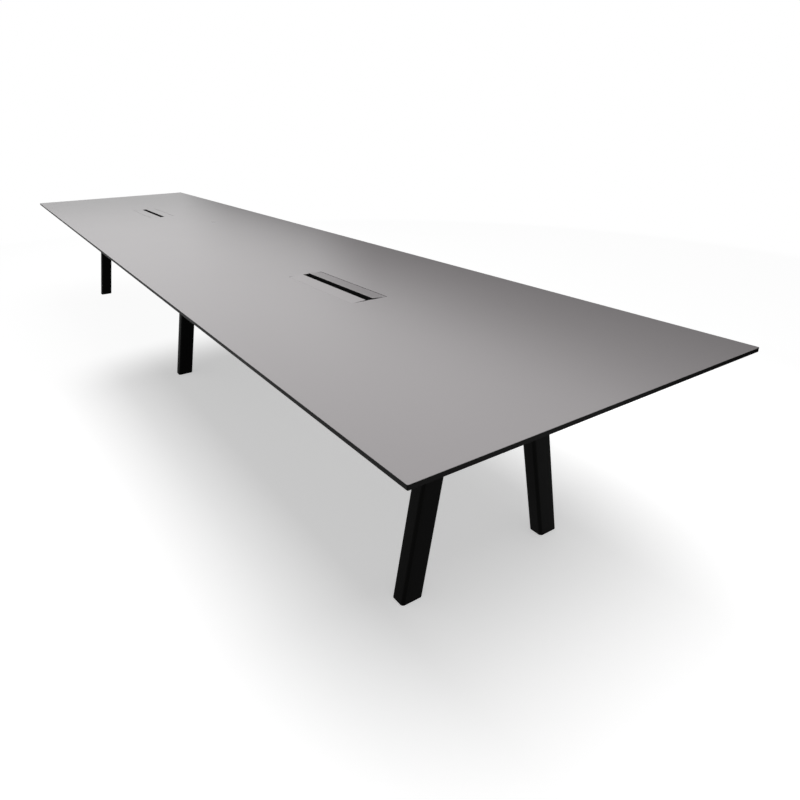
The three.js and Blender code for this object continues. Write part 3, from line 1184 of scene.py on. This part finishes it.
@dataclass
class UnderFrame:
    """The beams, rails and arms under the board, with what bolts, welds and screws them together."""

    beam_ease: float = 0.0006
    rail_ease: float = 0.0006
    arm_ease: float = 0.0006
    beam_lug_inset: float = 0.120
    rail_width: float = 0.030
    end_plate_thickness: float = 0.006
    end_plate_bolt: float = 0.030
    lug_reach: float = 0.030
    lug_width: float = 0.036
    lug_thickness: float = 0.004
    arms_per_rail: int = 2
    arm_plate: float = 0.006
    arm_root_bolt: float = 0.018
    arm_root_drop: float = 0.035
    arm_screw_across: float = 0.015
    arm_screw_inset: float = 0.040
    bolt: HexBolt = field(default_factory=HexBolt)
    screw: ButtonScrew = field(default_factory=ButtonScrew)
    bead: WeldBead = field(default_factory=lambda: WeldBead(radius=0.0028))

    def build(self) -> None:
        """Builds and dresses the frame."""
        for row in Row:
            SolidDresser.dress(f"{word(row)}_cross_beam", FRAME_COAT_PAINTED_FILL, self.beam_ease)
            self.beam_screws(row)
        for end in End:
            for side in Side:
                name = f"{word(end)}_{word(side)}"
                SolidDresser.dress(f"{name}_rail", FRAME_COAT_PAINTED_FILL, self.rail_ease)
                self.rail_fixings(name, side)
                SolidDresser.dress(f"{name}_end_rail", FRAME_COAT_PAINTED_FILL, self.rail_ease)
                self.end_rail_fixings(name, end, side)
                for bay in range(1, self.arms_per_rail + 1):
                    SolidDresser.dress(f"{name}_arm_{bay}", FRAME_COAT_PAINTED_FILL, self.arm_ease)
                    self.arm_fixings(f"{name}_arm_{bay}", side)

    def add_screws(self, shaper: Shaper, spots: Sequence[Vector]) -> None:
        """Adds screws that go up into the board.

        Args:
            shaper: what they are added to.
            spots: where their heads sit.
        """
        for index, spot in enumerate(spots):
            self.screw.add_to(shaper, seat_frame(spot, Vector((0.0, 0.0, -1.0)), turn=1.3 * index))

    def beam_screws(self, row: Row) -> None:
        """Screws a cross-beam's lugs to the board.

        Args:
            row: the pair of legs that the beam lies over.
        """
        low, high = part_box(f"{word(row)}_cross_beam")
        spots = []
        for x in (low.x + self.lug_reach / 2.0, high.x - self.lug_reach / 2.0):
            for y in (low.y + self.beam_lug_inset, high.y - self.beam_lug_inset):
                spots.append(Vector((x, y, high.z - self.lug_thickness)))
        shaper = Shaper()
        self.add_screws(shaper, spots)
        shaper.piece(f"{word(row)}_beam_screws", ZINC_PLATE, TABLE_BODY)

    def add_end_plate(self, bolts: Shaper, weld: Shaper, plate: Vector, inward: int, depth: float) -> None:
        """Adds the bolts of a rail's end plate and the weld between the rail and the plate.

        Args:
            bolts: what the bolts are added to.
            weld: what the weld is added to.
            plate: the middle of the plate's inner face.
            inward: the sign of X from the plate along the rail.
            depth: how deep the rail is.
        """
        face = Vector((float(inward), 0.0, 0.0))
        for across in (-self.end_plate_bolt, self.end_plate_bolt):
            point = plate + Vector((0.0, across, 0.0))
            self.bolt.add_to(bolts, seat_frame(point, face, turn=20.0 * across))
        half = self.rail_width / 2.0
        corners = [(-half, depth / 2.0), (-half, -depth / 2.0), (half, -depth / 2.0), (half, depth / 2.0)]
        line = [plate + Vector((0.0, y, z)) for y, z in corners]
        self.bead.add_to(weld, line, face, looped=False)

    def rail_fixings(self, name: str, side: Side) -> None:
        """Bolts a long rail's plates to the beams and screws its lugs to the board.

        Args:
            name: the rail's end and side.
            side: the side that the rail is on.
        """
        low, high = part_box(f"{name}_rail")
        middle = (low + high) / 2.0
        bolts, weld = Shaper(), Shaper()
        for outer, inward in ((low.x, 1), (high.x, -1)):
            plate = Vector((outer + inward * self.end_plate_thickness, middle.y, middle.z))
            self.add_end_plate(bolts, weld, plate, inward, high.z - low.z)
        bays = self.arms_per_rail + 1
        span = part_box(f"{word(Row.NEAR)}_cross_beam")[0].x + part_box(f"{word(Row.NEAR)}_cross_beam")[1].x
        bay_length = span / 2.0 / bays
        lug_y = middle.y + side.value * (self.rail_width + self.lug_reach) / 2.0
        spots = [
            Vector((middle.x + (bay - (bays - 1) / 2.0) * bay_length, lug_y, high.z - self.lug_thickness))
            for bay in range(bays)
        ]
        self.add_screws(bolts, spots)
        bolts.piece(f"{name}_rail_fixings", ZINC_PLATE, TABLE_BODY)
        weld.piece(f"{name}_rail_weld", WELD_COAT_PAINTED_FILL, TABLE_BODY)

    def end_rail_fixings(self, name: str, end: End, side: Side) -> None:
        """Bolts an end rail's plate to its beam and screws its lug to the board.

        Args:
            name: the rail's end and side.
            end: the end that the rail reaches towards.
            side: the side that the rail is on.
        """
        low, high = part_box(f"{name}_end_rail")
        middle = (low + high) / 2.0
        root, tip = (low.x, high.x) if end is End.NEAR else (high.x, low.x)
        bolts, weld = Shaper(), Shaper()
        plate = Vector((root + end.value * self.end_plate_thickness, middle.y, middle.z))
        self.add_end_plate(bolts, weld, plate, end.value, high.z - low.z)
        lug_y = middle.y + side.value * (self.rail_width + self.lug_reach) / 2.0
        lug_x = tip - end.value * self.lug_width
        self.add_screws(bolts, [Vector((lug_x, lug_y, high.z - self.lug_thickness))])
        bolts.piece(f"{name}_end_rail_fixings", ZINC_PLATE, TABLE_BODY)
        weld.piece(f"{name}_end_rail_weld", WELD_COAT_PAINTED_FILL, TABLE_BODY)

    def arm_fixings(self, name: str, side: Side) -> None:
        """Bolts an arm's root to its rail, welds its web to the root and screws its flange to the board.

        Args:
            name: the arm's name.
            side: the side that the arm reaches to.
        """
        low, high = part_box(name)
        middle = (low + high) / 2.0
        root, tip = (low.y, high.y) if side is Side.RIGHT else (high.y, low.y)
        face = Vector((0.0, float(side.value), 0.0))
        root_face = root + side.value * self.arm_plate
        bolts, weld = Shaper(), Shaper()
        for x in (-self.arm_root_bolt, self.arm_root_bolt):
            point = Vector((middle.x + x, root_face, high.z - self.arm_root_drop))
            self.bolt.add_to(bolts, seat_frame(point, face, turn=30.0 * x))
        seat = high.z - self.arm_plate
        rows = (root + side.value * 2.0 * self.arm_screw_inset, tip - side.value * self.arm_screw_inset)
        spots = [
            Vector((middle.x + x, y, seat))
            for y in rows for x in (-self.arm_screw_across, self.arm_screw_across)
        ]
        self.add_screws(bolts, spots)
        for x in (-self.arm_plate / 2.0, self.arm_plate / 2.0):
            line = [Vector((middle.x + x, root_face, z)) for z in (seat, low.z + self.bead.radius)]
            self.bead.add_to(weld, line, face, looped=False)
        bolts.piece(f"{name}_fixings", ZINC_PLATE, TABLE_BODY)
        weld.piece(f"{name}_weld", WELD_COAT_PAINTED_FILL, TABLE_BODY)


@dataclass(frozen=True)
class SoftBox:
    """A soft rectangular lamp."""

    name: str
    place: Vector
    aim: Vector
    size: tuple[float, float]
    radiance: float
    lit: Lit

    def build(self, groups: dict[Lit, bpy.types.Collection]) -> None:
        """Hangs the lamp where it belongs.

        Args:
            groups: what the lamp may light, by name.
        """
        data = bpy.data.lights.new(self.name, "AREA")
        data.shape = "RECTANGLE"
        data.size, data.size_y = self.size
        data.energy = self.radiance * math.pi * self.size[0] * self.size[1]
        lamp = bpy.data.objects.new(self.name, data)
        lamp.location = self.place
        lamp.rotation_euler = (self.aim - self.place).to_track_quat("-Z", "Y").to_euler()
        lamp.visible_camera = False
        lamp.light_linking.receiver_collection = groups[self.lit]
        bpy.context.scene.collection.objects.link(lamp)


@dataclass
class Studio:
    """The pale floor, the white surroundings, the lamps and the camera."""

    image_width: float = 800.0
    sensor_width: float = 36.0
    eye: Vector = field(default_factory=lambda: Vector((3.456312, -1.134808, 1.341432)))
    heading: float = 56.603
    pitch: float = 24.073
    roll: float = -1.193
    focal_length: float = 609.742
    optical_centre: tuple[float, float] = (388.555, 391.915)
    floor_radius: float = 12.0
    floor_sides: int = 96
    floor_colour: Colour = (0.8, 0.8, 0.8)
    floor_lift: float = 0.465
    shadow_middle: tuple[float, float, float] = (2.2, 0.0, 0.0)
    shadow_reach: tuple[float, float] = (2.25, 2.95)
    shadow_fade: float = 0.9
    floor_reach: tuple[float, float] = (4.0, 6.0)
    flag_low: Vector = field(default_factory=lambda: Vector((-6.0, 1.475, 0.0)))
    flag_high: Vector = field(default_factory=lambda: Vector((4.5, 1.475, 1.5)))
    flag_fade_up: tuple[float, float] = (1.06, 1.44)
    flag_fade_near: tuple[float, float] = (-0.7, -1.7)
    flag_fade_far: tuple[float, float] = (-3.8, -5.9)
    ambient: float = 0.28
    lamps: tuple[SoftBox, ...] = (
        SoftBox(
            "near_floor_softbox", Vector((2.3, -0.02, 3.0)), Vector((2.3, -0.02, 0.0)),
            (4.0, 2.5), 2.7, Lit.FLOOR,
        ),
        SoftBox(
            "far_floor_softbox", Vector((-2.4, 0.55, 3.0)), Vector((-2.4, 0.55, 0.0)),
            (5.2, 2.2), 2.3, Lit.FLOOR,
        ),
        SoftBox(
            "left_strip", Vector((1.2, -0.6, 2.2)), Vector((1.2, 0.05, 0.745)),
            (5.8, 0.8), 4.3, Lit.TABLE,
        ),
    )

    def build(self) -> None:
        """Sets up the whole studio."""
        lit = {Lit.TABLE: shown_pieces(), Lit.FLOOR: [self.build_floor()]}
        groups = {choice: bpy.data.collections.new(choice.value) for choice in Lit}
        for choice, objects in lit.items():
            for each in objects:
                groups[choice].objects.link(each)
        for lamp in self.lamps:
            lamp.build(groups)
        self.build_flag()
        self.build_surroundings()
        self.build_camera()

    def build_floor(self) -> bpy.types.Object:
        """Lays a round floor that keeps the table's shadow and fades into the white surroundings.

        Returns:
            The floor.
        """
        mesh = bmesh.new()
        bmesh.ops.create_circle(mesh, cap_ends=True, radius=self.floor_radius, segments=self.floor_sides)
        data = bpy.data.meshes.new("studio_floor")
        mesh.to_mesh(data)
        mesh.free()
        data.materials.append(self.floor_material())
        floor = bpy.data.objects.new("studio_floor", data)
        bpy.context.scene.collection.objects.link(floor)
        floor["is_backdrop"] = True
        return floor

    def flag_material(self) -> bpy.types.Material:
        """Makes the dark board's cloth: black, and fading to white upwards and towards the far end.

        Returns:
            The material.
        """
        material = bpy.data.materials.new("graded_cloth")
        material.use_nodes = True
        material.node_tree.nodes.clear()
        material.cycles.emission_sampling = "NONE"
        bench = Bench(material.node_tree)
        axes = bench.lay("ShaderNodeSeparateXYZ")
        bench.feed(axes.inputs["Vector"], bench.place())
        up = bench.span(axes.outputs["Z"], self.flag_fade_up, (0.0, 1.0))
        along = bench.span(axes.outputs["X"], self.flag_fade_near, (0.0, 1.0))
        far = bench.span(axes.outputs["X"], self.flag_fade_far, (0.0, 1.0))
        glow = bench.lay("ShaderNodeEmission")
        bench.feed(glow.inputs["Strength"], bench.sum("MAXIMUM", bench.sum("MULTIPLY", up, along), far))
        output = bench.lay("ShaderNodeOutputMaterial")
        bench.feed(output.inputs["Surface"], glow.outputs["Emission"])
        return material

    def build_flag(self) -> None:
        """Stands a dark board to the right of the table, which only the table's reflections show."""
        low, high = self.flag_low, self.flag_high
        foot = [(low.x, low.y, low.z), (high.x, high.y, low.z)]
        head = [(high.x, high.y, high.z), (low.x, low.y, high.z)]
        data = bpy.data.meshes.new("dark_flag")
        data.from_pydata(foot + head, [], [(0, 1, 2, 3)])
        data.materials.append(self.flag_material())
        flag = bpy.data.objects.new("dark_flag", data)
        flag.visible_camera = False
        flag.visible_diffuse = False
        flag.visible_transmission = False
        flag.visible_shadow = False
        bpy.context.scene.collection.objects.link(flag)
        flag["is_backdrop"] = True

    def seen(self, bench: Bench) -> bpy.types.NodeSocket:
        """Tells the rays that look at the background from those that light the table.

        Args:
            bench: the bench of the material or the surroundings.

        Returns:
            The socket that is 1 for a ray that looks.
        """
        path = bench.lay("ShaderNodeLightPath").outputs
        looks = bench.sum("ADD", path["Is Camera Ray"], path["Is Glossy Ray"], clamp=True)
        return bench.sum("ADD", looks, path["Is Transmission Ray"], clamp=True)

    def floor_material(self) -> bpy.types.Material:
        """Makes the floor's paint: pale, lifted to white where no shadow falls, and clear from below.

        Returns:
            The material.
        """
        material = bpy.data.materials.new("studio_floor_paint")
        material.use_nodes = True
        material.node_tree.nodes.clear()
        bench = Bench(material.node_tree)
        place = bench.place()
        from_shadow = bench.vector("DISTANCE", place, self.shadow_middle).outputs["Value"]
        from_middle = bench.vector("LENGTH", place, (0.0, 0.0, 0.0)).outputs["Value"]
        thinned = bench.span(from_shadow, self.shadow_reach, (0.0, self.shadow_fade), "SMOOTHSTEP")
        outer = bench.span(from_middle, self.floor_reach, (0.0, 1.0), "SMOOTHSTEP")
        fade = bench.sum("MAXIMUM", thinned, outer)
        seen = self.seen(bench)
        paint = bench.lay("ShaderNodeBsdfDiffuse")
        covered = bench.sum("MULTIPLY", fade, seen)
        black = opaque((0.0, 0.0, 0.0))
        bench.feed(paint.inputs["Color"], bench.blend(covered, opaque(self.floor_colour), black))
        glow = bench.lay("ShaderNodeEmission")
        lift = bench.span(fade, (0.0, 1.0), (self.floor_lift, 1.0))
        bench.feed(glow.inputs["Strength"], bench.sum("MULTIPLY", seen, lift))
        whole = bench.lay("ShaderNodeAddShader")
        bench.feed(whole.inputs[0], paint.outputs[0])
        bench.feed(whole.inputs[1], glow.outputs[0])
        one_way = bench.lay("ShaderNodeMixShader")
        bench.feed(one_way.inputs[0], bench.lay("ShaderNodeNewGeometry").outputs["Backfacing"])
        bench.feed(one_way.inputs[1], whole.outputs[0])
        bench.feed(one_way.inputs[2], bench.lay("ShaderNodeBsdfTransparent").outputs[0])
        bench.feed(bench.lay("ShaderNodeOutputMaterial").inputs["Surface"], one_way.outputs[0])
        return material

    def build_surroundings(self) -> None:
        """Makes the surroundings white to look at and to mirror, with a dimmer light of their own."""
        world = bpy.data.worlds.new("studio_surroundings")
        world.use_nodes = True
        world.node_tree.nodes.clear()
        bench = Bench(world.node_tree)
        either = bench.lay("ShaderNodeMixShader")
        bench.feed(either.inputs[0], self.seen(bench))
        for socket, strength in zip(either.inputs[1:], (self.ambient, 1.0)):
            background = bench.lay("ShaderNodeBackground")
            background.inputs["Color"].default_value = (1.0, 1.0, 1.0, 1.0)
            background.inputs["Strength"].default_value = strength
            bench.feed(socket, background.outputs[0])
        bench.feed(bench.lay("ShaderNodeOutputWorld").inputs["Surface"], either.outputs[0])
        bpy.context.scene.world = world

    def build_camera(self) -> None:
        """Puts the camera where the photograph was taken from."""
        data = bpy.data.cameras.new("photograph_camera")
        data.sensor_width = self.sensor_width
        data.lens = self.focal_length / self.image_width * self.sensor_width
        data.shift_x = 0.5 - self.optical_centre[0] / self.image_width
        data.shift_y = self.optical_centre[1] / self.image_width - 0.5
        camera = bpy.data.objects.new("photograph_camera", data)
        turn = Matrix.Rotation(math.radians(self.heading), 4, "Z")
        tilt = Matrix.Rotation(math.radians(90.0 - self.pitch), 4, "X")
        roll = Matrix.Rotation(math.radians(self.roll), 4, "Z")
        camera.matrix_world = Matrix.Translation(self.eye) @ turn @ tilt @ roll
        bpy.context.scene.collection.objects.link(camera)
        bpy.context.scene.camera = camera


def main() -> None:
    """Builds the table's sub-assemblies in order, then the studio round them."""
    logging.basicConfig(level=logging.INFO, format="%(name)s: %(message)s")
    bpy.context.scene.view_settings.view_transform = "Standard"
    for assembly in (TableTop(), CablePorts(), LegPairs(), UnderFrame(), Studio()):
        assembly.build()
        LOG.info("%s built", type(assembly).__name__)


if __name__ == "__main__":
    main()
